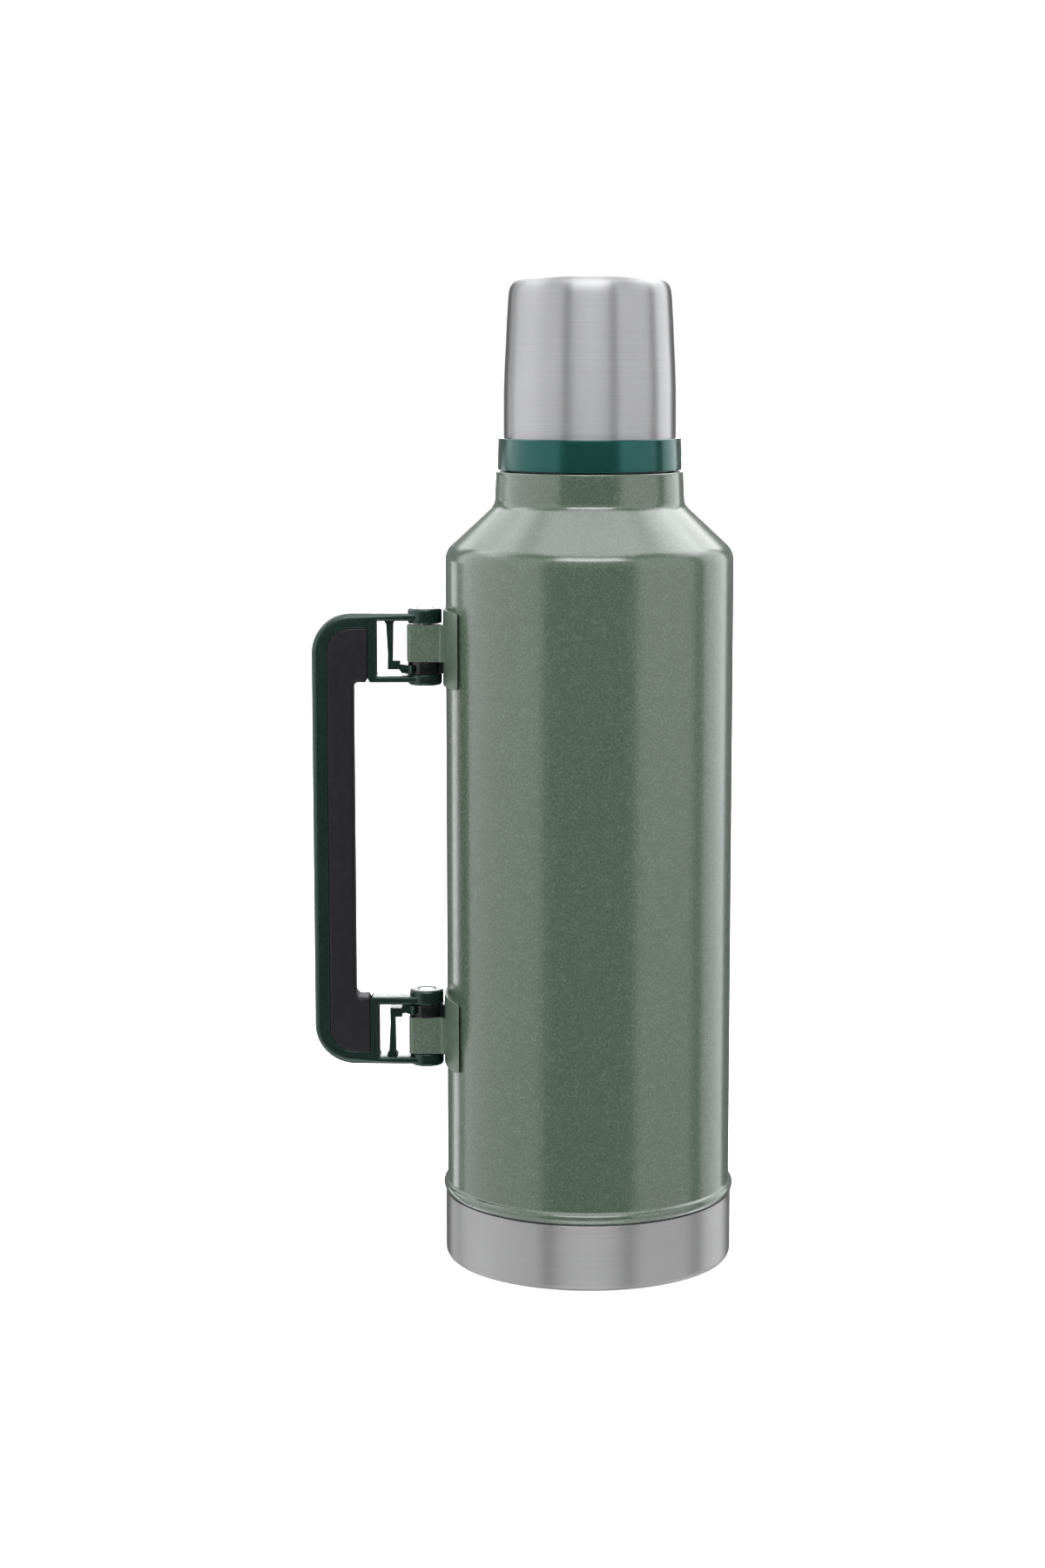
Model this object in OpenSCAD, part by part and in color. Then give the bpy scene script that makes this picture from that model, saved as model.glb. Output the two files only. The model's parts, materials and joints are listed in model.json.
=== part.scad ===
// Vacuum flask with a screw-on drinking cup and a fold-flat side handle.
// The origin is the centre of the base, +Z is up the bottle and the handle reaches out along -X.

/* [Bottle] */
// Outer diameter of the painted shell
body_d = 107.4; // [104:0.2:110]
// Height of the start of the shoulder above the base
shoulder_z = 265.1; // [258:0.1:270]
// Height of the steel base cup that shows below the shell
base_h = 24.8; // [21:0.1:27]
// Sheet thickness of the outer shell
shell_t = 0.8; // [0.6:0.1:1]
// Sheet thickness of the inner vessel
liner_t = 0.6; // [0.5:0.1:0.7]
// Width of the vacuum gap beside the inner vessel
vacuum_gap = 4.7; // [4:0.1:6]

/* [Cup and stopper] */
// Height of the cup's steel shell above its ring
cup_h = 58.9; // [56:0.1:62]
// Rise of the cup and of the stopper in one full turn of their two-start threads
lead = 8; // [7.6:0.1:8.4]
// Height of the stopper's grip
grip_cap_h = 22; // [18:0.5:24]
// Number of finger flutes around the stopper's grip
flutes = 12; // [8:1:16]

/* [Handle] */
// Distance of the hinge axis outside the shell
pivot_out = 7.8; // [7.5:0.1:9]
// Reach of the handle from its hinge axis to its outer face
reach = 42.3; // [40:0.2:48]
// Thickness of the handle's frame
frame_w = 11; // [9:0.5:11.5]
// Thickness of the soft grip inlay
inlay_w = 11.8; // [10:0.1:12]
// Outer corner radius of the handle
corner_r = 15; // [12:0.5:16]
// Radius of the hinge pins
pin_r = 2.5; // [2.2:0.1:2.6]

/* [Hidden] */
$fn = 96;

R = body_d / 2;             // outer radius of the shell
S = sqrt(0.5);
zs = shoulder_z + 32.9;     // top of the neck's shelf, where the cup's ring starts
lip_z = zs + 14.3;          // rim of the mouth
liner_r = R - shell_t - vacuum_gap;
px = -(R + pivot_out);      // hinge axis
run = 0.08;                 // running clearance of a pin in its bush
pad_t = 1;                  // bracket sheet on the shell
pad_r = R + 0.05;

// Points of an arc about (c, z), from angle a to angle b
function arc(c, z, r, a, b, n = 6) =
    [for (i = [0:n]) let (t = a + (b - a) * i / n) [c + r * cos(t), z + r * sin(t)]];
function flip(p) = [for (i = [len(p) - 1:-1:0]) p[i]];

// A wall of revolution between an outer and an inner line, both listed upwards
module wall(outer, inner) {
    rotate_extrude() polygon(concat(outer, flip(inner)));
}

// A rectangle with rounded corners, from circles and squares
module rrect(x0, y0, x1, y1, r) {
    translate([x0 + r, y0]) square([x1 - x0 - 2 * r, y1 - y0]);
    translate([x0, y0 + r]) square([x1 - x0, y1 - y0 - 2 * r]);
    for (x = [x0 + r, x1 - r], y = [y0 + r, y1 - r]) translate([x, y]) circle(r);
}

// A flat shape in X and Z, as thick as w along Y and centred on Y = 0
module upright(w) {
    rotate([90, 0, 0]) linear_extrude(height = w, center = true) children();
}

// One ridge of a right-hand thread: a trapezoid swept up a helix, fading into its wall at both ends
module ridge(root, crest, w_root, w_crest, z0, a0, sweep) {
    n = ceil(sweep / 10);
    out = crest > root;
    pts = [for (i = [0:n]) let (
            t = i / n, a = a0 + sweep * t, z = z0 + lead * sweep * t / 360,
            k = min(1, 0.12 + t * sweep / 32, 0.12 + (1 - t) * sweep / 32),
            rc = root + (crest - root) * k)
        each [
            [root * cos(a), root * sin(a), z - w_root / 2],
            [rc * cos(a), rc * sin(a), z - w_crest / 2],
            [rc * cos(a), rc * sin(a), z + w_crest / 2],
            [root * cos(a), root * sin(a), z + w_root / 2]]];
    sides = [for (i = [0:n - 1], j = [0:3]) let (
            a = 4 * i + j, b = 4 * i + (j + 1) % 4, c = a + 4, d = b + 4)
        each [[a, b, c], [b, d, c]]];
    ends = [[0, 2, 1], [0, 3, 2], [4 * n, 4 * n + 1, 4 * n + 2], [4 * n, 4 * n + 2, 4 * n + 3]];
    all = concat(sides, ends);
    polyhedron(points = pts, faces = out ? all : [for (f = all) flip(f)], convexity = 6);
}

// Two starts, half a turn apart
module two_start(root, crest, z0, a0, sweep) {
    for (s = [0, 180]) ridge(root, crest, 2.1, 1.0, z0, a0 + s, sweep);
}

// ---- Bottle ----

// Line along the shell at a depth t inside its outer face
function shell_line(t) = concat(
    // the drawn-in skirt that the base cup goes over, then the rolled bead above it
    [[R - 0.2 - 0.75 * t, base_h - 3], [R - 0.2 - 0.75 * t, base_h + 0.25 + 0.9 * t],
     [R + 0.3 - 0.65 * t, base_h + 0.25 + t], [R + 0.8 - 0.85 * t, base_h + 0.75 + 0.6 * t],
     [R + 1.2 - 0.95 * t, base_h + 1.5 + 0.3 * t], [R + 1.45 - t, base_h + 2.4 + 0.05 * t],
     [R + 1.4 - t, base_h + 3.0 - 0.1 * t], [R + 1.1 - 0.9 * t, base_h + 3.75 - 0.5 * t],
     [R + 0.65 - 0.85 * t, base_h + 4.25 - 0.75 * t], [R + 0.25 - 0.8 * t, base_h + 4.5 - 0.8 * t],
     [R - t, base_h + 4.8 - 0.6 * t]],
    arc(R - 8, shoulder_z, 8 - t, 0, 47, 8),
    arc(R - 14, shoulder_z + 22.7, 4.5 + t, 227, 180, 6),
    [[R - 19 - t, zs - 0.6 - t * 0.8]]);

module outer_shell() {
    color([0.46, 0.52, 0.48]) wall(
        concat(shell_line(0), [[R - 19.5, zs], [28.8, zs], [28.8, lip_z - 0.8]]),
        concat(shell_line(shell_t), [[28.8 - shell_t, zs - shell_t - 0.02], [28.8 - shell_t, lip_z - 0.8]]));
}

module base_cup() {
    color([0.70, 0.70, 0.71]) wall(
        concat([[0, 1.6], [36, 1.6], [38, 0]], arc(R - 1.5, 2.2, 2.2, 270, 360), [[R + 0.7, base_h - 0.4], [R + 0.4, base_h - 0.1]]),
        concat([[0, 2.4], [36.4, 2.4], [38.4, 0.8]], arc(R - 1.5, 2.2, 1.4, 270, 360), [[R - 0.1, base_h - 0.1]]));
}

module outer_bottom() {
    color([0.62, 0.62, 0.63]) wall(
        concat([[1.5, 11], [10, 11], [12, 8]], arc(R - shell_t - 4.05, 12, 4, 270, 360), [[R - shell_t - 0.05, base_h + 14]]),
        concat([[1.5, 11.8], [10.4, 11.8], [12.4, 8.8]], arc(R - shell_t - 4.05, 12, 3.2, 270, 360), [[R - shell_t - 0.85, base_h + 14]]));
}

module vacuum_seal() {
    color([0.55, 0.50, 0.42]) {
        translate([0, 0, 10]) cylinder(r = 4.5, h = 1);
        translate([0, 0, 10.5]) cylinder(r = 1.5, h = 2);
    }
}

module getter() {
    color([0.35, 0.35, 0.37]) translate([24, 0, 8.8]) difference() {
        cylinder(r = 5, h = 2.2);
        translate([0, 0, 1.4]) cylinder(r = 4.2, h = 2);
    }
}

// Line along the inner vessel at a depth t inside its outer face
neck_r = 26.8;
cone_k = neck_r + zs - 10.2;   // r + z along the vessel's shoulder cone
function liner_line(t) = concat(
    [[liner_r - t, 17]],
    arc(liner_r - 8, cone_k - liner_r + 8 - 16 * S, 8 - t, 0, 45, 6),
    arc(neck_r + 5, cone_k - neck_r - 5 + 10 * S, 5 + t, 225, 180, 5));

module inner_liner() {
    color([0.72, 0.72, 0.73]) union() {
        wall(
            concat(liner_line(0), [[neck_r, lip_z - 0.8], [28.8, lip_z - 0.8], [28.8, lip_z - 0.3]]),
            concat(liner_line(liner_t), [[neck_r - liner_t, lip_z], [28.5, lip_z]]));
        two_start(neck_r - liner_t + 0.35, neck_r - liner_t - 1.1, zs + 2.57, -60, 260);
    }
}

module liner_bottom() {
    r = liner_r - liner_t - 0.03;
    color([0.68, 0.68, 0.69]) wall(
        concat([[0, 20], [20, 19]], arc(r - 4, 21, 4, 270, 360), [[r, 27]]),
        concat([[0, 20.7], [20.2, 19.7]], arc(r - 4, 21, 3.3, 270, 360), [[r - 0.7, 27]]));
}

module neck_collar() {
    color([0.16, 0.20, 0.18]) union() {
        wall([[30.2, zs + 0.05], [30.2, zs + 10]], [[28.85, zs + 0.05], [28.85, zs + 10.8], [29.6, zs + 10.8]]);
        two_start(29.8, 31.3, zs + 2.2, 0, 300);
    }
}

// ---- Stopper ----
flange_z = lip_z + 1.65;
cap_z = flange_z + 2.6;
cap_top = cap_z + grip_cap_h;

module stopper_body() {
    color([0.20, 0.27, 0.24]) union() {
        wall(
            concat([[0, zs - 12]], arc(22.2, zs - 9.5, 2.5, 270, 360), [[24.7, flange_z], [28.4, flange_z], [28.4, cap_z], [25, cap_z], [25, cap_z + 2.5]]),
            concat([[0, zs - 10]], arc(21.2, zs - 8.6, 1.4, 270, 360), [[22.6, cap_z + 2.5]]));
        two_start(24.3, 25.8, zs + 1.9, 0, 300);
    }
}

module stopper_cap() {
    color([0.20, 0.27, 0.24]) difference() {
        rotate_extrude() polygon(concat(
            [[25.05, cap_z], [27.8, cap_z]], arc(25.3, cap_top - 2.5, 2.5, 0, 90, 5),
            [[20, cap_top], [18.6, cap_top - 0.8], [0, cap_top - 0.8],
             [0, cap_top - 3.2], [22.8, cap_top - 3.2], [22.8, cap_z + 2.6], [25.05, cap_z + 2.6]]));
        for (i = [0:flutes - 1]) rotate(i * 360 / flutes)
            translate([29.9, 0, cap_z + 2]) cylinder(r = 3.1, h = grip_cap_h, $fn = 36);
    }
}

module stopper_insulation() {
    color([0.88, 0.87, 0.82]) translate([0, 0, zs - 9.6])
        cylinder(r = 20.8, h = cap_top - 3.6 - (zs - 9.6));
}

module stopper_gasket() {
    color([0.75, 0.76, 0.74]) wall(
        [[28.2, lip_z + 0.05], [28.5, lip_z + 0.4], [28.5, flange_z - 0.4], [28.2, flange_z - 0.05]],
        [[24.95, lip_z + 0.05], [24.95, flange_z - 0.05]]);
}

// ---- Cup ----
top_z = zs + 12.2 + cup_h;   // crown of the cup

// Line over the cup at a depth t inside its outer face, from its ring up to the crown
function cup_line(t) = [
    [31.85 - t, zs + 11.3], [31.85 - t, zs + 13], [31.8 - t, zs + 29.8], [31.1 - t, zs + 45.8],
    [30.25 - t, top_z - 9.1], [30.05 - t, top_z - 6.2], [29.75 - t * 0.97, top_z - 4.6 - t * 0.15],
    [29.2 - t * 0.9, top_z - 3.2 - t * 0.4], [28.3 - t * 0.75, top_z - 2.1 - t * 0.65],
    [27 - t * 0.55, top_z - 1.35 - t * 0.83], [25 - t * 0.3, top_z - 0.8 - t * 0.95],
    [21 - t * 0.1, top_z - 0.35 - t], [12, top_z - 0.08 - t], [0, top_z - t]];

module cup_shell() {
    color([0.76, 0.76, 0.77]) rotate_extrude() polygon(concat(
        [[32.95, zs + 7.4], [32.95, zs + 10], [31.85, zs + 11.2]], cup_line(0),
        flip(cup_line(0.6)), [[31.25, zs + 11], [32.35, zs + 9.8], [32.35, zs + 7.4]]));
}

module cup_liner() {
    color([0.24, 0.30, 0.27]) rotate_extrude() polygon(concat(
        [[29.9, zs + 11.5], [30.9, zs + 11.5]], [for (i = [1:13]) cup_line(0.95)[i]],
        flip([for (i = [1:13]) cup_line(1.95)[i]])));
}

module cup_ring() {
    color([0.09, 0.24, 0.21]) union() {
        rotate_extrude() polygon([
            [31.6, zs + 0.5], [33.6, zs + 0.5], [34.15, zs + 1.1], [33.75, zs + 11.6], [33.2, zs + 12.2],
            [31.9, zs + 12.2], [31.9, zs + 11.25], [33.0, zs + 10.05], [33.0, zs + 7.35],
            [32.3, zs + 7.35], [32.3, zs + 9.75], [31.6, zs + 10.5]]);
        two_start(31.95, 30.5, zs + 2.87, -60, 250);
    }
}

// ---- Hinges ----
// [bracket bottom, bracket top, collar bottom, collar top, pad bottom, pad top]
hinge_hi = [227.3, 241.1, 222.7, 227.3, 218.5, 247];
hinge_lo = [78.0, 91.9, 91.9, 96.4, 74.3, 101];

module bracket(h) {
    color([0.47, 0.53, 0.49]) union() {
        difference() {
            translate([0, 0, h[0]]) linear_extrude(height = h[1] - h[0]) difference() {
                union() {
                    rrect(px - 6.6, -6, px + 20, 6, 1.8);
                    for (s = [1, -1]) scale([1, s]) polygon([
                        [px + 4.6, 5.6], [px + 6.0, 6.3], [px + 6.7, 7.2], [px + 7.2, 9.2], [px + 14, 9.2], [px + 14, 5.6]]);
                }
                rrect(px - 5.1, -4.5, px + 40, 4.5, 0.8);
                circle(r = pad_r + 0.4);
            }
        }
        intersection() {
            translate([0, 0, h[4]]) wall([[pad_r + pad_t, 0], [pad_r + pad_t, h[5] - h[4]]], [[pad_r, 0], [pad_r, h[5] - h[4]]]);
            translate([-R + 5, 0, 0]) rotate([0, -90, 0]) linear_extrude(height = 30)
                rrect(h[4], -29.3, h[5], 29.3, 9);
        }
    }
}
module upper_bracket() { bracket(hinge_hi); }
module lower_bracket() { bracket(hinge_lo); }

module bush(h) {
    z0 = min(h[0], h[2]);
    z1 = max(h[1], h[3]);
    color([0.07, 0.08, 0.08]) difference() {
        union() {
            translate([0, 0, h[0]]) linear_extrude(height = h[1] - h[0]) difference() {
                rrect(px - 5.05, -4.45, px + 12, 4.45, 0.8);
                circle(r = pad_r + pad_t + 0.05);
            }
            translate([0, 0, h[2]]) linear_extrude(height = h[3] - h[2]) {
                translate([px, 0]) circle(r = 6.3);
                difference() {
                    translate([px, -3.5]) square([12, 7]);
                    circle(r = pad_r + pad_t + 0.05);
                }
            }
        }
        translate([px, 0, z0 - 1]) cylinder(r = pin_r + run, h = z1 - z0 + 2);
    }
}
module upper_hinge_bush() { bush(hinge_hi); }
module lower_hinge_bush() { bush(hinge_lo); }

module pin(z0, z1) {
    color([0.72, 0.73, 0.74]) translate([px, 0, 0]) {
        translate([0, 0, z0]) cylinder(r = pin_r, h = z1 - 0.8 - z0);
        translate([0, 0, z1 - 0.9]) cylinder(r = 3.2, h = 0.5);
        translate([0, 0, z1 - 0.4]) cylinder(r1 = 3.2, r2 = 2.7, h = 0.3);
    }
}
module upper_hinge_pin() { pin(218.7, 247.1); }
module lower_hinge_pin() { pin(73.3, 102.1); }

// ---- Handle ----
// [lower boss bottom, lower boss top, upper boss bottom, upper boss top] and the arms between them
boss_hi = [218.3, 222.4, 241.6, 247.1];
arm_hi = [219.5, 221.9, 242.5, 245.3];
boss_lo = [72.9, 77.7, 96.7, 102.1];
arm_lo = [73.8, 76.5, 96.7, 99.7];
x_out = px - reach;
x_bar = px - 21.3;           // grip side of the bar at each end of the handle

module boss(z0, z1, up) {
    // a round boss with its outer edge rounded, above when up is true and below when not
    e = 1.1;
    rotate_extrude() polygon(up
        ? concat([[0, z0], [6.4, z0]], arc(6.4 - e, z1 - e, e, 0, 90, 4), [[0, z1]])
        : concat([[0, z0]], arc(6.4 - e, z0 + e, e, -90, 0, 4), [[6.4, z1], [0, z1]]));
}

// Outline of the soft inlay's outside, g mm inside its pocket
module inlay_shape(g) {
    x0 = x_out + 5.8 + g;
    x1 = x_bar - g;
    z0 = arm_lo[1] + 2.3 + g;
    z1 = arm_hi[3] - 5.4 - g;
    r = corner_r - 5.7 - g;
    difference() {
        translate([x0, z0]) square([x1 - x0, z1 - z0]);
        difference() {
            translate([x0 - 1, z1 - r]) square([r + 1, r + 1]);
            translate([x0 + r, z1 - r]) circle(r = r);
        }
        difference() {
            translate([x0 - 1, z0 - 1]) square([r + 1, r + 1]);
            translate([x0 + r, z0 + r]) circle(r = r);
        }
    }
}

// Small vees where the inlay meets the end bars, on the hand's side
module vees() {
    polygon([[x_bar - 0.75, arm_hi[0] - 0.2], [x_bar + 0.75, arm_hi[0] - 0.2], [x_bar, arm_hi[0] + 1.5]]);
    polygon([[x_bar - 0.75, arm_lo[3] + 0.2], [x_bar + 0.75, arm_lo[3] + 0.2], [x_bar, arm_lo[3] - 1.5]]);
}

module handle_frame() {
    color([0.07, 0.14, 0.11]) difference() {
        union() {
            upright(frame_w) difference() {
                rrect(x_out, arm_lo[0], px + 30, arm_hi[3], corner_r);
                inlay_shape(0);
                translate([x_bar - 1, arm_lo[3]]) square([60, arm_hi[0] - arm_lo[3]]);
                rrect(px - 18.05, arm_hi[1], px + 30, arm_hi[2], 0.8);
                rrect(px - 18.05, arm_lo[1], px + 30, arm_lo[2], 0.8);
                translate([px, 0]) square([60, 300]);
                vees();
            }
            translate([px, 0, 0]) {
                boss(boss_hi[0], boss_hi[1], false);
                boss(boss_hi[2], boss_hi[3], true);
                boss(boss_lo[0], boss_lo[1], false);
                boss(boss_lo[2], boss_lo[3], true);
            }
        }
        for (b = [boss_hi, boss_lo]) translate([px, 0, 0]) {
            translate([0, 0, b[0] - 1]) cylinder(r = pin_r + 0.02, h = b[3] - b[0] + 2);
            translate([0, 0, b[3] - 0.95]) cylinder(r = 3.3, h = 2);
        }
    }
}

module handle_grip() {
    xi = x_out + 15.55;
    color([0.06, 0.06, 0.07]) upright(inlay_w) difference() {
        inlay_shape(0.05);
        // open middle, with filleted inner corners
        rrect(xi, arm_lo[3] - 0.1, xi + 30, arm_hi[0] + 0.1, 2.6);
        vees();
    }
}

// A springy finger that hangs from an arm and hugs the detent collar, drawn for the upper hinge
module spring_hi(top, foot) {
    difference() {
        union() {
            upright(6) polygon([
                [px - 15.2, top], [px - 11, top], [px - 11.8, top - 1.2], [px - 12, foot + 3.4], [px - 9.3, foot + 3.4], [px - 9.3, foot + 2.0],
                [px - 7.4, foot + 1.9], [px - 7.4, foot - 1.4], [px - 8.6, foot - 1.4], [px - 9.6, foot], [px - 13.9, foot], [px - 13.8, foot + 6], [px - 14.4, top - 1.2]]);
            translate([px, 0, foot - 1.4]) intersection() {
                difference() {
                    cylinder(r = 8.2, h = 3.3);
                    translate([0, 0, -1]) cylinder(r = 6.65, h = 6);
                }
                linear_extrude(height = 3.3) polygon([[0, 0], [-12 * cos(54), 12 * sin(54)], [-14, 12 * sin(54)], [-14, -12 * sin(54)], [-12 * cos(54), -12 * sin(54)]]);
            }
        }
        translate([px, 0, foot - 3]) cylinder(r = 6.65, h = 12);
    }
}
module upper_detent_spring() {
    color([0.06, 0.12, 0.09]) spring_hi(arm_hi[2], 224.2);
}
module lower_detent_spring() {
    color([0.06, 0.12, 0.09]) translate([0, 0, arm_lo[1]]) mirror([0, 0, 1])
        spring_hi(0, -(95.0 - arm_lo[1]));
}

outer_shell();
base_cup();
outer_bottom();
vacuum_seal();
getter();
inner_liner();
liner_bottom();
neck_collar();
stopper_body();
stopper_cap();
stopper_insulation();
stopper_gasket();
cup_shell();
cup_liner();
cup_ring();
upper_bracket();
lower_bracket();
upper_hinge_bush();
lower_hinge_bush();
upper_hinge_pin();
lower_hinge_pin();
handle_frame();
handle_grip();
upper_detent_spring();
lower_detent_spring();
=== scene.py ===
"""Looks for the vacuum flask: fine lathe-turned shells, moulded handle parts, procedural finishes and a plain studio."""
import json
import math

import bmesh
import bpy
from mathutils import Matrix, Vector


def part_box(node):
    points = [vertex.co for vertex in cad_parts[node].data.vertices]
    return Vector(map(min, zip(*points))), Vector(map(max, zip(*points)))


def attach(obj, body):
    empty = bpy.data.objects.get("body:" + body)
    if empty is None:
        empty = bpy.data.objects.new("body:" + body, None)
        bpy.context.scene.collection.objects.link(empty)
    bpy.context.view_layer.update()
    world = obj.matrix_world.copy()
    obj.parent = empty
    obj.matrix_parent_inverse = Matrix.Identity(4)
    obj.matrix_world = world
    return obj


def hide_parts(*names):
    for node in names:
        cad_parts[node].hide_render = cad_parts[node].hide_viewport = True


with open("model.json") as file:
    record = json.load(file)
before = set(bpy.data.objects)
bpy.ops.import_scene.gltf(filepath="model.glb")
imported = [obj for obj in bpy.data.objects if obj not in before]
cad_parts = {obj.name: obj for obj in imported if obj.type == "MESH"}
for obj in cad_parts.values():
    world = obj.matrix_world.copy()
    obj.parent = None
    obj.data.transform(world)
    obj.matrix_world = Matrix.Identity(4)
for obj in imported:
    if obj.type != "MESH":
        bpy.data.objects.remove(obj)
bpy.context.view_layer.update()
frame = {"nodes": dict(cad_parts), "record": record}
nodes = frame["nodes"]
SEG = 256

# ------------------------------------------------------------------ reference sizes, read from the frame
sh_lo, sh_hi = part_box("outer_shell")
R = sh_hi.x * 1000 - 1.45                    # body radius in mm
BASE_H = sh_lo.z * 1000 + 3.0                # top of the base cup
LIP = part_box("inner_liner")[1].z * 1000      # rim of the mouth
ZS = LIP - 14.3                              # neck shelf
SHO = ZS - 32.9                              # start of the shoulder
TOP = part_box("cup_shell")[1].z * 1000
PX = -(R + 7.8)                              # hinge axis
X_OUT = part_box("handle_frame")[0].x * 1000   # outer face of the handle
X_BAR = PX - 21.3
ARM_HI = (219.5, 221.9, 242.5, 245.3)
ARM_LO = (73.8, 76.5, 96.7, 99.7)
BOSS_HI = (218.3, 222.4, 241.6, 247.1)
BOSS_LO = (72.9, 77.7, 96.7, 102.1)


# ------------------------------------------------------------------ mesh helpers
def arc(c, z, r, a, b, n=12):
    return [
        (c + r * math.cos(math.radians(a + (b - a) * i / n)), z + r * math.sin(math.radians(a + (b - a) * i / n)))
        for i in range(n + 1)
    ]


def rounded(points, n=6):
    """A closed outline with filleted corners. points are (x, z), (x, z, radius) or (x, z, radius, edge)."""
    out = []
    m = len(points)
    for i, p in enumerate(points):
        rad = p[2] if len(p) > 2 else 0
        tail = (p[3],) if len(p) > 3 else ()
        if not rad:
            out.append((p[0], p[1]) + tail)
            continue
        a, b, c = Vector(points[i - 1][:2]), Vector(p[:2]), Vector(points[(i + 1) % m][:2])
        u, v = (a - b), (c - b)
        lu, lv = u.length, v.length
        u.normalize()
        v.normalize()
        half = math.acos(max(-1, min(1, u.dot(v)))) / 2
        if half > math.pi / 2 - 1e-3:
            out.append((p[0], p[1]) + tail)
            continue
        ku = 0.49 if len(points[i - 1]) > 2 and points[i - 1][2] else 0.98
        kv = 0.49 if len(points[(i + 1) % m]) > 2 and points[(i + 1) % m][2] else 0.98
        t = min(rad / math.tan(half), lu * ku, lv * kv)
        rr = t * math.tan(half)
        centre = b + (u + v).normalized() * (rr / math.sin(half))
        s, e = b + u * t - centre, b + v * t - centre
        a0 = math.atan2(s.y, s.x)
        a1 = math.atan2(e.y, e.x)
        d = (a1 - a0 + math.pi) % (2 * math.pi) - math.pi
        for k in range(n + 1):
            w = a0 + d * k / n
            out.append((centre.x + rr * math.cos(w), centre.y + rr * math.sin(w)) + tail)
    return out


def dedupe(pts, closed=True):
    out = []
    for p in pts:
        if not out or math.dist(p[:2], out[-1][:2]) > 1e-4:
            out.append(p)
    if closed and math.dist(out[0][:2], out[-1][:2]) < 1e-4:
        out.pop()
    return out


def finish_mesh(bm, name, smooth_deg=28.0, mm=True):
    if mm:
        bmesh.ops.scale(bm, vec=(0.001, 0.001, 0.001), verts=bm.verts)
    bmesh.ops.remove_doubles(bm, verts=bm.verts, dist=1e-7)
    bmesh.ops.recalc_face_normals(bm, faces=bm.faces)
    me = bpy.data.meshes.new(name)
    bm.to_mesh(me)
    bm.free()
    for p in me.polygons:
        p.use_smooth = len(p.vertices) <= 8
    me.set_sharp_from_angle(angle=math.radians(smooth_deg))
    ob = bpy.data.objects.new(name, me)
    bpy.context.scene.collection.objects.link(ob)
    return ob


def lathe_into(bm, outline, seg=SEG, x0=0.0):
    """Turns a closed (r, z) outline about a vertical axis at x0. Points on the axis are single vertices."""
    outline = dedupe(outline)
    rings = []
    for r, z in outline:
        if r < 1e-5:
            rings.append([bm.verts.new((x0, 0, z))])
        else:
            rings.append(
                [bm.verts.new((x0 + r * math.cos(2 * math.pi * i / seg), r * math.sin(2 * math.pi * i / seg), z)) for i in range(seg)]
            )
    for a, b in zip(rings, rings[1:] + rings[:1]):
        if len(a) == 1 and len(b) == 1:
            continue
        for i in range(seg):
            j = (i + 1) % seg
            if len(a) == 1:
                bm.faces.new((a[0], b[j], b[i]))
            elif len(b) == 1:
                bm.faces.new((a[i], a[j], b[0]))
            else:
                bm.faces.new((a[i], a[j], b[j], b[i]))


def lathe(name, outline, seg=SEG, smooth_deg=28.0):
    bm = bmesh.new()
    lathe_into(bm, outline, seg)
    return finish_mesh(bm, name, smooth_deg)


def plate_into(bm, loop, half, seg=5):
    """A flat moulding in X and Z with rounded edges: loop holds (x, z, edge radius), counter-clockwise."""
    loop = dedupe(loop)
    m = len(loop)
    area = sum(loop[i][0] * loop[(i + 1) % m][1] - loop[(i + 1) % m][0] * loop[i][1] for i in range(m))
    if area < 0:
        loop = loop[::-1]
    inward = []
    for i in range(m):
        a, b, c = (Vector(loop[j % m][:2]) for j in (i - 1, i, i + 1))
        u, v = (b - a).normalized(), (c - b).normalized()
        n1, n2 = Vector((-u.y, u.x)), Vector((-v.y, v.x))
        inward.append((n1 + n2) / max(0.35, 1 + n1.dot(n2)))
    levels = [(1, seg - k) for k in range(seg + 1)] + [(-1, k) for k in range(seg + 1)]
    rings = []
    for sign, k in levels:
        t = math.pi / 2 * k / seg
        ring = []
        for p, n in zip(loop, inward):
            e = p[2]
            d = e * (1 - math.cos(t))
            ring.append(bm.verts.new((p[0] + n.x * d, sign * (half - e + e * math.sin(t)), p[1] + n.y * d)))
        rings.append(ring)
    for a, b in zip(rings, rings[1:]):
        for i in range(m):
            j = (i + 1) % m
            bm.faces.new((a[i], b[i], b[j], a[j]))
    bm.faces.new(rings[0])
    bm.faces.new(rings[-1][::-1])


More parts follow.
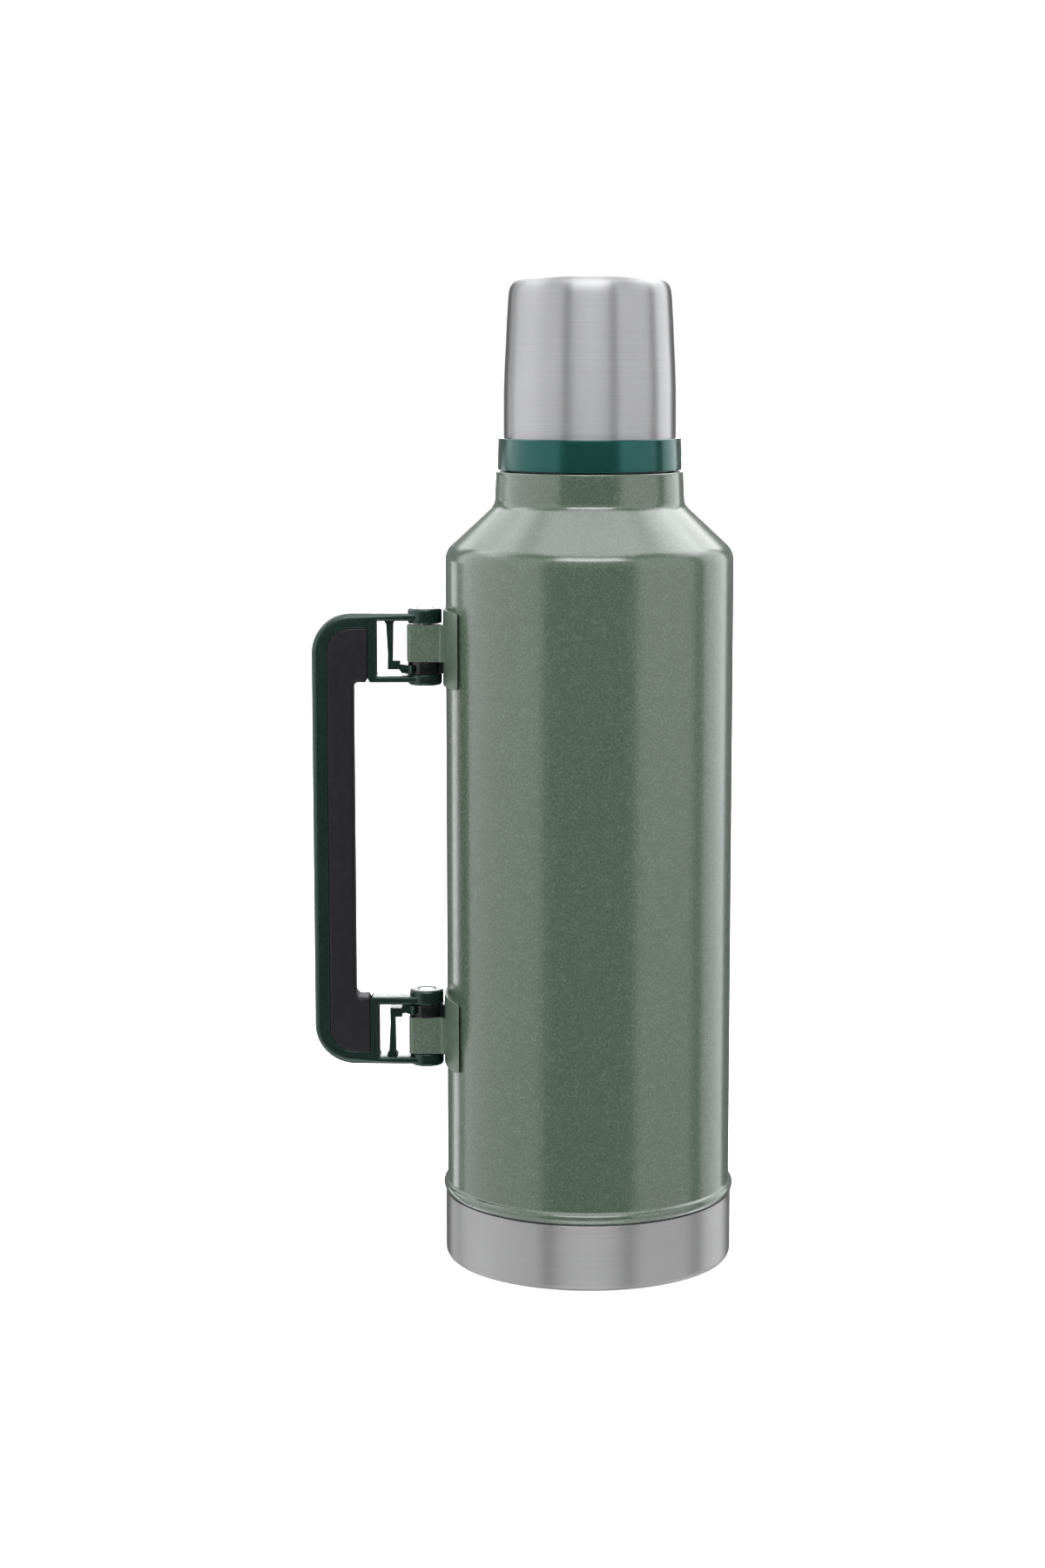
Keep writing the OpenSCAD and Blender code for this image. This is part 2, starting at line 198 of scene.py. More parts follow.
# ------------------------------------------------------------------ material helpers
class Mat:
    """A small wrapper that keeps node graphs short."""

    def __init__(self, name):
        self.m = bpy.data.materials.new(name)
        self.m.use_nodes = True
        self.t = self.m.node_tree
        self.t.nodes.clear()
        self.out = self.t.nodes.new("ShaderNodeOutputMaterial")
        self.b = self.t.nodes.new("ShaderNodeBsdfPrincipled")
        self.t.links.new(self.b.outputs[0], self.out.inputs[0])
        self.co = self.t.nodes.new("ShaderNodeTexCoord").outputs["Object"]

    def link(self, a, b):
        self.t.links.new(a, b)

    def set(self, **kw):
        for k, v in kw.items():
            self.b.inputs[k.replace("_", " ")].default_value = v

    def scaled(self, vec):
        n = self.t.nodes.new("ShaderNodeMapping")
        n.vector_type = "POINT"
        n.inputs["Scale"].default_value = vec
        self.link(self.co, n.inputs["Vector"])
        return n.outputs[0]

    def noise(self, scale, detail=2.0, rough=0.5, vec=None, distortion=0.0):
        n = self.t.nodes.new("ShaderNodeTexNoise")
        n.inputs["Scale"].default_value = scale
        n.inputs["Detail"].default_value = detail
        n.inputs["Roughness"].default_value = rough
        n.inputs["Distortion"].default_value = distortion
        self.link(vec or self.co, n.inputs["Vector"])
        return n.outputs[0]

    def voronoi(self, scale, feature="F1", randomness=1.0, vec=None, out="Distance", smooth=None):
        n = self.t.nodes.new("ShaderNodeTexVoronoi")
        n.feature = feature
        n.inputs["Scale"].default_value = scale
        n.inputs["Randomness"].default_value = randomness
        if smooth is not None and "Smoothness" in n.inputs:
            n.inputs["Smoothness"].default_value = smooth
        self.link(vec or self.co, n.inputs["Vector"])
        return n.outputs[out]

    def math(self, op, a, b=None, clamp=False):
        n = self.t.nodes.new("ShaderNodeMath")
        n.operation = op
        n.use_clamp = clamp
        for i, v in enumerate((a, b)):
            if v is None:
                continue
            if isinstance(v, (int, float)):
                n.inputs[i].default_value = v
            else:
                self.link(v, n.inputs[i])
        return n.outputs[0]

    def remap(self, v, a, b, c=0.0, d=1.0, smooth=False):
        n = self.t.nodes.new("ShaderNodeMapRange")
        n.interpolation_type = "SMOOTHSTEP" if smooth else "LINEAR"
        n.clamp = True
        for k, x in zip(("From Min", "From Max", "To Min", "To Max"), (a, b, c, d)):
            n.inputs[k].default_value = x
        self.link(v, n.inputs["Value"])
        return n.outputs[0]

    def ramp(self, v, stops):
        n = self.t.nodes.new("ShaderNodeValToRGB")
        e = n.color_ramp.elements
        while len(e) > 1:
            e.remove(e[-1])
        e[0].position, e[0].color = stops[0][0], (*stops[0][1], 1)
        for p, c in stops[1:]:
            x = e.new(p)
            x.color = (*c, 1)
        self.link(v, n.inputs[0])
        return n.outputs[0]

    def mix(self, f, a, b, blend="MIX"):
        n = self.t.nodes.new("ShaderNodeMix")
        n.data_type = "RGBA"
        n.blend_type = blend
        n.clamp_factor = True
        if isinstance(f, (int, float)):
            n.inputs[0].default_value = f
        else:
            self.link(f, n.inputs[0])
        for i, v in ((6, a), (7, b)):
            if isinstance(v, tuple):
                n.inputs[i].default_value = (*v, 1) if len(v) == 3 else v
            else:
                self.link(v, n.inputs[i])
        return n.outputs[2]

    def bump(self, height, dist, strength=1.0, normal=None):
        n = self.t.nodes.new("ShaderNodeBump")
        n.inputs["Strength"].default_value = strength
        n.inputs["Distance"].default_value = dist
        self.link(height, n.inputs["Height"])
        if normal is not None:
            self.link(normal, n.inputs["Normal"])
        return n.outputs[0]

    def xyz(self):
        n = self.t.nodes.new("ShaderNodeSeparateXYZ")
        self.link(self.co, n.inputs[0])
        return n.outputs

    def edge(self, radius, samples=4):
        """1 on convex edges, 0 on flats: the bevelled normal against the true one."""
        bev = self.t.nodes.new("ShaderNodeBevel")
        bev.samples = samples
        bev.inputs["Radius"].default_value = radius
        geo = self.t.nodes.new("ShaderNodeNewGeometry")
        d = self.t.nodes.new("ShaderNodeVectorMath")
        d.operation = "DOT_PRODUCT"
        self.link(bev.outputs[0], d.inputs[0])
        self.link(geo.outputs["Normal"], d.inputs[1])
        return self.remap(d.outputs["Value"], 0.995, 0.85, 0.0, 1.0)


def hammertone(name="hammertone_green", k=0.50, dull=0.0):
    m = Mat(name)
    cells = m.voronoi(1500.0, "SMOOTH_F1", 1.0, smooth=0.6)
    fine = m.noise(2600.0, 3.0, 0.6)
    broad = m.noise(240.0, 3.0, 0.55)
    veil = m.noise(14.0, 2.0, 0.5)
    f = m.math("ADD", m.math("MULTIPLY", cells, 0.95), m.math("MULTIPLY", fine, 0.55))
    stops = ((0.0, (0.046, 0.076, 0.047)), (0.35, (0.060, 0.097, 0.061)), (0.65, (0.078, 0.118, 0.080)), (1.0, (0.108, 0.152, 0.114)))
    col = m.ramp(m.remap(f, 0.30, 1.02), [(p, tuple(k * x for x in c)) for p, c in stops])
    col = m.mix(m.remap(broad, 0.38, 0.66, 0.0, 0.30), col, (0.052 * k, 0.086 * k, 0.054 * k))
    col = m.mix(m.remap(veil, 0.35, 0.70, 0.0, 0.14), col, (0.090 * k, 0.125 * k, 0.096 * k))
    m.link(col, m.b.inputs["Base Color"])
    rough = m.math("ADD", m.remap(fine, 0.3, 0.7, 0.15 + dull, 0.26 + dull), m.remap(broad, 0.3, 0.7, -0.02, 0.03))
    m.link(rough, m.b.inputs["Roughness"])
    h = m.math("ADD", m.math("MULTIPLY", cells, 0.8), m.math("MULTIPLY", fine, 0.45))
    h = m.math("ADD", h, m.math("MULTIPLY", broad, 1.1))
    m.link(m.bump(h, 0.000045, 0.5), m.b.inputs["Normal"])
    m.set(Metallic=0.0, IOR=1.5, Specular_IOR_Level=0.5, Coat_Weight=0.3 if dull == 0 else 0.0, Coat_Roughness=0.08, Coat_IOR=1.5)
    return m.m


def brushed(name, tint, rough, line, rim=None):
    """Steel brushed around its axis: fine lines that run around, with uneven passes."""
    m = Mat(name)
    v1 = m.scaled((26.0, 26.0, 5200.0))
    v2 = m.scaled((9.0, 9.0, 1500.0))
    v3 = m.scaled((90.0, 90.0, 9000.0))
    a = m.noise(1.0, 3.0, 0.6, v1)
    b = m.noise(1.0, 2.0, 0.5, v2)
    c = m.noise(1.0, 2.0, 0.6, v3)
    cloud = m.noise(22.0, 3.0, 0.55)
    lines = m.math("ADD", m.math("MULTIPLY", a, 0.5), m.math("ADD", m.math("MULTIPLY", b, 0.2), m.math("MULTIPLY", c, 0.3)))
    k = tint
    col = m.ramp(
        m.remap(lines, 0.30, 0.70),
        [(0.0, tuple(x * 0.87 for x in k)), (0.5, k), (1.0, tuple(min(1, x * 1.08) for x in k))],
    )
    col = m.mix(m.remap(cloud, 0.40, 0.75, 0.0, 0.14), col, tuple(x * 0.84 for x in k))
    m.link(col, m.b.inputs["Base Color"])
    r = m.math("ADD", m.remap(lines, 0.3, 0.7, rough - 0.06, rough + 0.07), m.remap(cloud, 0.3, 0.7, -0.02, 0.03))
    m.link(r, m.b.inputs["Roughness"])
    m.link(m.bump(lines, 0.00001 * line, 0.5), m.b.inputs["Normal"])
    tan = m.t.nodes.new("ShaderNodeTangent")
    tan.direction_type = "RADIAL"
    tan.axis = "Z"
    m.link(tan.outputs[0], m.b.inputs["Tangent"])
    m.set(Metallic=1.0, Anisotropic=0.96, Anisotropic_Rotation=0.25)
    return m.m


def moulded(name, base, light, rough, grain, grain_mm, coat=0.0, edge_highlight=None, ior=1.5, scuff=0.0, level=0.5, tint=None):
    """Moulded plastic or rubber: fine grain, slow colour drift, handling polish, and a painted highlight that lightens
    the convex edges.
    """
    m = Mat(name)
    n1 = m.noise(900.0 / grain_mm, 2.0, 0.6)
    n2 = m.voronoi(620.0 / grain_mm, "F1")
    slow = m.noise(26.0, 3.0, 0.5)
    mark = m.noise(1.0, 4.0, 0.65, m.scaled((300.0, 300.0, 60.0)), 0.4)
    g = m.math("ADD", m.math("MULTIPLY", n1, 0.6), m.math("MULTIPLY", n2, 0.5))
    col = m.mix(m.remap(g, 0.35, 0.85, 0.0, 0.55), base, light)
    col = m.mix(m.remap(slow, 0.35, 0.7, 0.0, 0.22), col, tuple(x * 0.72 for x in base))
    # painted highlight: convex edges are mixed toward a lighter colour, standing in for the sheen on rounded edges
    if edge_highlight:
        col = m.mix(m.math("MULTIPLY", m.edge(0.0006), 0.55), col, edge_highlight)
    m.link(col, m.b.inputs["Base Color"])
    r = m.math("ADD", m.remap(g, 0.3, 0.9, rough - 0.05, rough + 0.07), m.remap(slow, 0.35, 0.7, -0.04, 0.05))
    if scuff:
        r = m.math("ADD", r, m.remap(mark, 0.56, 0.72, 0.0, scuff))
    m.link(r, m.b.inputs["Roughness"])
    m.link(m.bump(g, 0.00002 * grain_mm, grain), m.b.inputs["Normal"])
    m.set(IOR=ior, Coat_Weight=coat, Coat_Roughness=0.06, Specular_IOR_Level=level)
    if tint:
        m.set(Specular_Tint=(*tint, 1))
    return m.m


def turned_pin():
    m = Mat("turned_steel")
    rings = m.noise(1.0, 2.0, 0.5, m.scaled((2600.0, 2600.0, 500.0)))
    slow = m.noise(120.0, 2.0, 0.5)
    m.link(m.ramp(rings, [(0.3, (0.58, 0.59, 0.60)), (0.7, (0.80, 0.81, 0.82))]), m.b.inputs["Base Color"])
    m.link(m.math("ADD", m.remap(rings, 0.3, 0.7, 0.18, 0.32), m.remap(slow, 0.3, 0.7, -0.03, 0.05)), m.b.inputs["Roughness"])
    m.link(m.bump(rings, 0.000008, 0.4), m.b.inputs["Normal"])
    m.set(Metallic=1.0)
    return m.m


MAT = {
    "hammertone_paint": hammertone(),
    # painted light: the brackets get a lighter (k 0.60) and duller copy of the body paint, so their flat front faces
    # read brighter
    "bracket_paint_lit": hammertone("hammertone_bracket_lit_copy", 0.60, 0.20),
    "cup_steel": brushed("brushed_cup_steel", (0.298, 0.298, 0.300), 0.40, 0.8),
    "base_steel": brushed("brushed_base_steel", (0.25, 0.25, 0.25), 0.42, 1.0),
    "plain_steel": brushed("drawn_steel", (0.62, 0.62, 0.63), 0.33, 0.6),
    "green_gloss_plastic": moulded("gloss_green_plastic", (0.0030, 0.0200, 0.0150), (0.0042, 0.0250, 0.0195), 0.17, 0.10, 1.2, scuff=0.06, level=0.5, tint=(0.30, 0.90, 0.86)),
    "green_satin_plastic": moulded("satin_green_plastic", (0.0024, 0.0095, 0.0062), (0.0027, 0.0104, 0.0070), 0.29, 0.06, 1.0, scuff=0.06, level=0.42, tint=(0.75, 1.0, 0.95)),
    "grip_rubber": moulded("grip_rubber", (0.0042, 0.0040, 0.0052), (0.0068, 0.0064, 0.0082), 0.55, 0.50, 1.6, edge_highlight=(0.010, 0.0098, 0.012), level=0.22),
    "black_plastic": moulded("black_plastic", (0.0022, 0.0028, 0.0026), (0.0042, 0.0050, 0.0047), 0.24, 0.25, 1.0, edge_highlight=(0.012, 0.013, 0.013), level=0.32),
    "dark_plastic": moulded("collar_plastic", (0.012, 0.020, 0.017), (0.018, 0.028, 0.024), 0.38, 0.25, 1.0, edge_highlight=(0.05, 0.07, 0.06), scuff=0.08),
    "stopper_plastic": moulded("stopper_plastic", (0.010, 0.034, 0.027), (0.014, 0.044, 0.035), 0.36, 0.30, 1.0, edge_highlight=(0.04, 0.09, 0.075), scuff=0.08),
    "liner_plastic": moulded("liner_plastic", (0.022, 0.052, 0.043), (0.028, 0.062, 0.052), 0.34, 0.20, 1.2, edge_highlight=(0.06, 0.10, 0.09)),
    "foam": moulded("foam", (0.66, 0.64, 0.56), (0.75, 0.73, 0.66), 0.85, 0.8, 3.0),
    "silicone": moulded("silicone", (0.19, 0.195, 0.185), (0.24, 0.245, 0.235), 0.50, 0.2, 1.0),
    "pin_steel": turned_pin(),
    "braze": moulded("braze", (0.30, 0.26, 0.20), (0.36, 0.31, 0.24), 0.5, 0.5, 2.0),
    "getter_metal": moulded("getter", (0.10, 0.10, 0.11), (0.14, 0.14, 0.15), 0.6, 0.8, 2.0),
}


def wear(ob, mat):
    ob.data.materials.clear()
    ob.data.materials.append(mat)


# ------------------------------------------------------------------ outer shell
def shell_outline():
    t = 0.8
    B = BASE_H
    bead = [
        (R + 0.05, 0.28), (R + 0.3, 0.3), (R + 0.55, 0.46), (R + 0.8, 0.75), (R + 1.02, 1.1), (R + 1.2, 1.5), (R + 1.34, 1.95),
        (R + 1.43, 2.4), (R + 1.45, 2.75), (R + 1.39, 3.1), (R + 1.28, 3.43), (R + 1.1, 3.75), (R + 0.9, 4.02), (R + 0.66, 4.24),
        (R + 0.42, 4.4), (R + 0.22, 4.52), (R + 0.09, 4.66), (R + 0.02, 4.9), (R, 5.2),
    ]
    outer = [(R - 0.2, B - 3), (R - 0.2, B + 0.1), (R - 0.1, B + 0.25)] + [(r, B + z) for r, z in bead]
    outer += [(R, z) for z in (60, 100, 140, 180, 220, 250)]
    outer += arc(R - 8, SHO, 8, 0, 47, 24)
    outer += arc(R - 14, SHO + 22.7, 4.5, 227, 180, 20)
    outer += [(R - 18.7, SHO + 27), (R - 18.9, ZS - 2.0)]
    outer += arc(R - 19.6, ZS - 0.75, 0.7, 4, 90, 6)
    outer += [(29.4, ZS), (28.95, ZS + 0.25), (28.8, ZS + 0.7), (28.8, LIP - 0.8)]
    inner = [
        (28.0, LIP - 0.8),
        (28.0, ZS - t),
        (R - 19.9, ZS - t),
        (R - 19.7, ZS - 1.4),
        (R - 19.5, SHO + 27),
    ]
    inner += arc(R - 14, SHO + 22.7, 5.3, 180, 227, 12)
    inner += arc(R - 8, SHO, 7.2, 47, 0, 12)
    inner += [(R - t, 140), (R - t, B + 4.4), (R + 0.3, B + 3.4), (R + 0.6, B + 2.5), (R + 0.1, B + 1.1), (R - t, B + 0.9), (R - t, B - 3)]
    return outer + inner


shell = lathe("painted_shell", shell_outline(), smooth_deg=30)
wear(shell, MAT["hammertone_paint"])
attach(shell, "bottle")
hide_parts("outer_shell")

# ------------------------------------------------------------------ base cup
b_out = [(0, 1.6), (34, 1.6), (36, 1.35)] + [(37.6, 0.25), (38.6, 0.0)]
b_out += arc(R - 1.5, 2.2, 2.2, 270, 360, 16) + [(R + 0.7, 6), (R + 0.7, 14), (R + 0.7, BASE_H - 0.45)] + arc(R + 0.36, BASE_H - 0.44, 0.34, 5, 90, 5)
b_in = [(R + 0.1, BASE_H - 0.1), (R - 0.1, BASE_H - 0.25), (R - 0.1, 8)] + arc(R - 1.5, 2.2, 1.4, 360, 270, 8) + [(38.9, 0.8), (36.2, 2.2), (34, 2.4), (0, 2.4)]
base = lathe("brushed_base_cup", b_out + b_in, smooth_deg=30)
wear(base, MAT["base_steel"])
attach(base, "bottle")
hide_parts("base_cup")


# ------------------------------------------------------------------ drinking cup
def cup_line(t):
    """The cup's outer face, t mm inside it, from the ring up to the crown."""
    side = [
        (31.85, ZS + 11.3), (31.85, ZS + 14), (31.83, ZS + 22), (31.78, ZS + 29.8), (31.50, ZS + 38),
        (31.1, ZS + 45.8), (30.72, TOP - 17), (30.42, TOP - 12), (30.25, TOP - 9.1),
    ]
    pts = [(r - t, z) for r, z in side]
    # corner and crown: a blend through known points, offset along its own normal
    key = [
        (30.25, -9.1), (30.17, -7.9), (30.06, -6.6), (29.92, -5.5), (29.72, -4.6), (29.46, -3.8), (29.13, -3.1), (28.7, -2.5),
        (28.2, -2.02), (27.6, -1.62), (26.8, -1.27), (25.9, -1.0), (24.6, -0.75), (22.9, -0.53), (20.5, -0.35), (17, -0.19),
        (12, -0.08), (6, -0.02), (0, 0),
    ]
    for i in range(1, len(key) - 1):
        (r0, z0), (r1, z1) = key[i - 1], key[i + 1]
        d = Vector((r1 - r0, z1 - z0)).normalized()
        pts.append((key[i][0] - d.y * t, TOP + key[i][1] + d.x * t))
    pts.append((0, TOP - t))
    return pts


c_out = [(32.95, ZS + 7.4), (32.95, ZS + 10.0), (31.9, ZS + 11.1)] + cup_line(0)
c_in = list(reversed(cup_line(0.6))) + [(31.3, ZS + 10.9), (32.35, ZS + 9.8), (32.35, ZS + 7.4)]
cup = lathe("steel_cup", c_out + c_in, smooth_deg=35)
wear(cup, MAT["cup_steel"])
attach(cup, "cup")
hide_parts("cup_shell")

l_out = [(30.1, ZS + 11.5), (30.7, ZS + 11.5), (30.9, ZS + 11.7)]
liner = lathe("cup_inner", l_out + cup_line(0.95)[1:] + list(reversed(cup_line(1.95)[1:])) + [(29.9, ZS + 11.7)], smooth_deg=35)
wear(liner, MAT["liner_plastic"])
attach(liner, "cup_lining")
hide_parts("cup_liner")


# ------------------------------------------------------------------ threads, swept finely
LEAD = 8.0


def ridge_into(bm, root, crest, w_root, w_crest, z0, a0, sweep, step=3.0):
    n = int(math.ceil(sweep / step))
    rings = []
    for i in range(n + 1):
        t = i / n
        a = math.radians(a0 + sweep * t)
        z = z0 + LEAD * sweep * t / 360
        k = max(0.02, min(1, 0.12 + t * sweep / 32, 0.12 + (1 - t) * sweep / 32))
        rc = root + (crest - root) * k
        mid = root + (crest - root) * k * 0.86
        h = (w_root, w_crest * 1.25, w_crest * 0.85)
        prof = [(root, -h[0] / 2), (mid, -h[1] / 2), (rc, -h[2] / 2), (rc, h[2] / 2), (mid, h[1] / 2), (root, h[0] / 2)]
        rings.append([bm.verts.new((r * math.cos(a), r * math.sin(a), z + dz)) for r, dz in prof])
    m = len(rings[0])
    for a, b in zip(rings, rings[1:]):
        for i in range(m):
            j = (i + 1) % m
            bm.faces.new((a[i], a[j], b[j], b[i]))
    bm.faces.new(rings[0])
    bm.faces.new(list(reversed(rings[-1])))


# ------------------------------------------------------------------ cup ring
ring_pts = rounded(
    [
        (31.6, ZS + 0.5, 0.25), (34.1, ZS + 0.5, 0.35), (34.12, ZS + 2.4), (33.95, ZS + 7.0), (33.72, ZS + 12.2, 0.5),
        (31.9, ZS + 12.2, 0.12), (31.9, ZS + 11.25), (33.0, ZS + 10.05), (33.0, ZS + 7.35),
        (32.3, ZS + 7.35), (32.3, ZS + 9.75), (31.6, ZS + 10.5),
    ],
    8,
)
bm = bmesh.new()
lathe_into(bm, ring_pts)
for s in (0, 180):
    ridge_into(bm, 31.95, 30.5, 2.1, 1.0, ZS + 2.87, -60 + s, 250)
ring = finish_mesh(bm, "gloss_ring", 32)
wear(ring, MAT["green_gloss_plastic"])
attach(ring, "cup")
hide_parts("cup_ring")

# ------------------------------------------------------------------ handle frame and grip
E_OUT, E_ARM, E_IN = 2.3, 1.1, 0.45
frame_loop = [
    (PX, ARM_HI[3], 0, E_ARM), (PX - 10, ARM_HI[3], 0, 1.3), (X_BAR, ARM_HI[3], 0, 1.9),
    (X_OUT, ARM_HI[3], 15, E_OUT), (X_OUT, ARM_LO[0], 15, E_OUT),
    (X_BAR, ARM_LO[0], 0, 1.7), (PX - 10, ARM_LO[0], 0, 1.0), (PX, ARM_LO[0], 0, 0.9),
    (PX, ARM_LO[1], 0, 0.9), (PX - 18.05, ARM_LO[1], 0.8, 0.9), (PX - 18.05, ARM_LO[2], 0.8, 0.9), (PX, ARM_LO[2], 0, 0.9),
    (PX, ARM_LO[3], 0, E_ARM), (X_BAR + 0.75, ARM_LO[3], 0.6, 0.5), (X_BAR, ARM_LO[3] - 1.5, 0, E_IN),
    (X_BAR, ARM_LO[1] + 2.3, 0, E_IN), (X_OUT + 5.8, ARM_LO[1] + 2.3, 9.3, E_IN), (X_OUT + 5.8, ARM_HI[3] - 5.4, 9.3, E_IN),
    (X_BAR, ARM_HI[3] - 5.4, 0, E_IN), (X_BAR, ARM_HI[0] + 1.5, 0, E_IN), (X_BAR + 0.75, ARM_HI[0], 0.6, 0.5),
    (PX, ARM_HI[0], 0, 0.9), (PX, ARM_HI[1], 0, 0.9), (PX - 18.05, ARM_HI[1], 0.8, 0.9), (PX - 18.05, ARM_HI[2], 0.8, 0.9),
    (PX, ARM_HI[2], 0, 0.9),
]
bm = bmesh.new()
plate_into(bm, rounded(frame_loop, 24), 5.5, 6)
for b in (BOSS_HI, BOSS_LO):
    low = [(0, b[0])] + arc(5.3, b[0] + 1.1, 1.1, -90, 0, 8) + [(6.4, b[1] - 0.35)] + arc(6.05, b[1] - 0.35, 0.35, 0, 90, 4) + [(0, b[1])]
    top = [(0, b[2])] + arc(6.05, b[2] + 0.35, 0.35, -90, 0, 4) + arc(5.3, b[3] - 1.1, 1.1, 0, 90, 8)
    top += [(3.75, b[3]), (3.45, b[3] - 0.1), (3.3, b[3] - 0.3), (3.3, b[3] - 0.95), (0, b[3] - 0.95)]
    lathe_into(bm, low, 96, PX)
    lathe_into(bm, top, 96, PX)
handle = finish_mesh(bm, "moulded_frame", 32)
wear(handle, MAT["green_satin_plastic"])
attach(handle, "handle")
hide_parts("handle_frame")

g = 0.05
xi = X_OUT + 15.55
grip_loop = [
    (X_OUT + 5.8 + g, ARM_HI[3] - 5.4 - g, 9.25, 0.75), (X_OUT + 5.8 + g, ARM_LO[1] + 2.3 + g, 9.25, 0.75),
    (X_BAR - g, ARM_LO[1] + 2.3 + g, 0, 0.6), (X_BAR - g, ARM_LO[3] - 1.6, 0, 0.5),
    (X_BAR - 0.75, ARM_LO[3] - 0.1, 0.8, 0.6), (xi, ARM_LO[3] - 0.1, 2.6, 1.5), (xi, ARM_HI[0] + 0.1, 2.6, 1.5),
    (X_BAR - 0.75, ARM_HI[0] + 0.1, 0.8, 0.6), (X_BAR - g, ARM_HI[0] + 1.6, 0, 0.5), (X_BAR - g, ARM_HI[3] - 5.4 - g, 0, 0.6),
]
bm = bmesh.new()
plate_into(bm, rounded(grip_loop, 20), 5.9, 6)
grip = finish_mesh(bm, "soft_grip", 32)
wear(grip, MAT["grip_rubber"])
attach(grip, "handle")
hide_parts("handle_grip")

# ------------------------------------------------------------------ CAD nodes that keep their shape
SLOT = {s["node"]: s["material_slot"] for s in frame["record"]["subparts"]}
REPLACED = {"outer_shell", "base_cup", "cup_shell", "cup_liner", "cup_ring", "handle_frame", "handle_grip"}


def smooth_cad(ob, deg=32.0, bevel=None, seg=3):
    w = ob.modifiers.new("weld", "WELD")
    w.merge_threshold = 1e-6
    if bevel:
        d = ob.modifiers.new("planar", "DECIMATE")
        d.decimate_type = "DISSOLVE"
        d.angle_limit = math.radians(0.4)
        b = ob.modifiers.new("edges", "BEVEL")
        b.width = bevel
        b.segments = seg
        b.limit_method = "ANGLE"
        b.angle_limit = math.radians(38)
        b.use_clamp_overlap = True
        b.harden_normals = False
        b.miter_outer = "MITER_ARC"


for name, ob in nodes.items():
    if name in REPLACED:
        continue
    wear(ob, MAT["bracket_paint_lit" if name.endswith("_bracket") else SLOT[name]])

for name in ("upper_detent_spring", "lower_detent_spring"):
    smooth_cad(nodes[name], bevel=0.00035, seg=3)
for name in ("upper_bracket", "lower_bracket"):
    smooth_cad(nodes[name], bevel=0.0008, seg=4)
for name in ("upper_hinge_bush", "lower_hinge_bush"):
    smooth_cad(nodes[name], bevel=0.0004, seg=3)

# ------------------------------------------------------------------ floor, light and camera
bm = bmesh.new()
bmesh.ops.create_circle(bm, cap_ends=True, radius=9.0, segments=96)
floor = finish_mesh(bm, "floor", mm=False)
fm = Mat("floor_paper")
g = fm.noise(2.0, 3.0, 0.5)
fm.link(fm.ramp(g, [(0.3, (0.90, 0.90, 0.90)), (0.7, (0.93, 0.93, 0.93))]), fm.b.inputs["Base Color"])
fm.set(Roughness=0.9, Specular_IOR_Level=0.2)
wear(floor, fm.m)
floor.visible_glossy = False

world = bpy.data.worlds.new("studio")
bpy.context.scene.world = world
world.use_nodes = True
wt = world.node_tree
wt.nodes.clear()


class World(Mat):
    def __init__(self, tree):
        self.t = tree
        self.co = tree.nodes.new("ShaderNodeTexCoord").outputs["Generated"]


W = World(wt)
x, y, z = W.xyz()
az = W.math("MULTIPLY", W.math("ARCTAN2", x, W.math("MULTIPLY", y, -1.0)), 57.29578)
el = W.math("MULTIPLY", W.math("ARCSINE", z), 57.29578)


def band(v, a, b, s):
    return W.math("MULTIPLY", W.remap(v, a - s, a + s, 0, 1, True), W.remap(v, b - s, b + s, 1, 0, True))


def soft(a0, a1, sa, e0, e1, se, l0, l1=None):
    lum = l0 if l1 is None else W.remap(az, a0, a1, l0, l1)
    return W.math("MULTIPLY", W.math("MULTIPLY", band(az, a0, a1, sa), band(el, e0, e1, se)), lum)


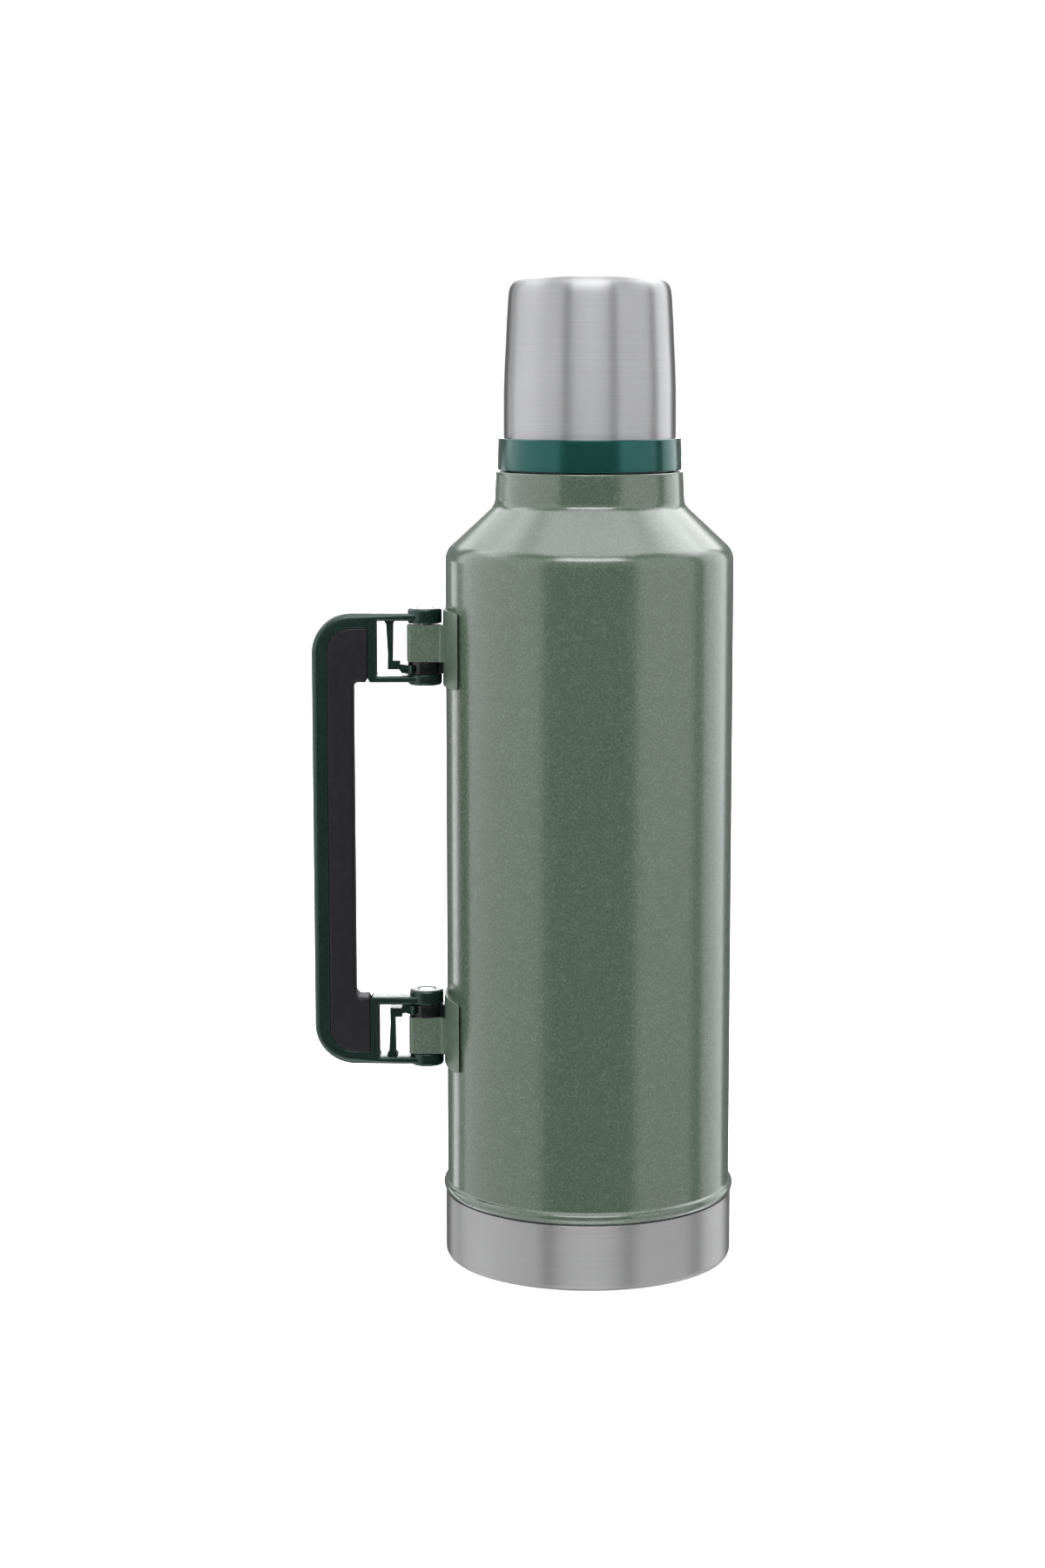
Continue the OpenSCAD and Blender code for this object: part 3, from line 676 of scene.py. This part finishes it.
light = W.remap(el, -8, -1, 0.15, 0.27, True)
fall = W.remap(el, -15, -1, 0.72, 1.10, True)     # the side boxes are dimmer low down
for box in (
    W.math("MULTIPLY", soft(-122, -38, 4, -42, 46, 14, 1.9, 1.55), fall),
    soft(-131, -120, 2, -1.0, 60, 1.5, 1.8),
    soft(-144, -133, 2.5, -60, -1.5, 1.5, 2.2),
    W.math("MULTIPLY", soft(37, 91, 4, -42, 46, 14, 1.75, 1.35), fall),
    W.math("MULTIPLY", soft(103, 139, 3, -60, 60, 10, 1.7, 2.45), fall),
    soft(-34, 34, 5, 38, 56, 4, 9.5),
    soft(-30, 30, 8, 9, 36, 4, 0.45),
    soft(-5, 5, 3, 38, 56, 4, 1.6),
    soft(-150, 150, 8, -80, -36, 6, 1.5),
    soft(-34, 34, 8, -80, -36, 6, 2.4),
    soft(-160, -90, 6, 34, 62, 5, 2.4),
    soft(90, 160, 6, 32, 62, 5, 1.5, 3.6),
    soft(-168, -143, 4, 19, 38, 4, 2.2),
    soft(143, 168, 4, 19, 38, 4, 3.4),
):
    light = W.math("ADD", light, box)
back = W.math("GREATER_THAN", W.math("ABSOLUTE", az), 171.0)
light = W.math("ADD", light, W.math("MULTIPLY", W.math("MULTIPLY", band(el, 3.5, 26, 1.2), back), 4.6))
light = W.math("ADD", light, W.remap(el, 58, 70, 0, 3.9, True))
bg = wt.nodes.new("ShaderNodeBackground")
wt.links.new(light, bg.inputs["Strength"])
bg.inputs["Color"].default_value = (0.985, 0.99, 1.0, 1)
white = wt.nodes.new("ShaderNodeBackground")
white.inputs["Color"].default_value = (1, 1, 1, 1)
white.inputs["Strength"].default_value = 1.05
path = wt.nodes.new("ShaderNodeLightPath")
mixer = wt.nodes.new("ShaderNodeMixShader")
wt.links.new(path.outputs["Is Camera Ray"], mixer.inputs[0])
wt.links.new(bg.outputs[0], mixer.inputs[1])
wt.links.new(white.outputs[0], mixer.inputs[2])
wo = wt.nodes.new("ShaderNodeOutputWorld")
wt.links.new(mixer.outputs[0], wo.inputs[0])

cam_data = bpy.data.cameras.new("camera")
cam_data.lens = 68.4
cam_data.sensor_width = 36.0
cam_data.sensor_fit = "AUTO"
cam_data.shift_x = -0.0119
cam_data.clip_start = 0.05
cam = bpy.data.objects.new("camera", cam_data)
cam.location = (-0.018, -1.1107, 0.3408)
cam.rotation_euler = (math.radians(90 - 8.207), 0, 0)
bpy.context.scene.collection.objects.link(cam)
bpy.context.scene.camera = cam
bpy.context.scene.view_settings.view_transform = "Standard"
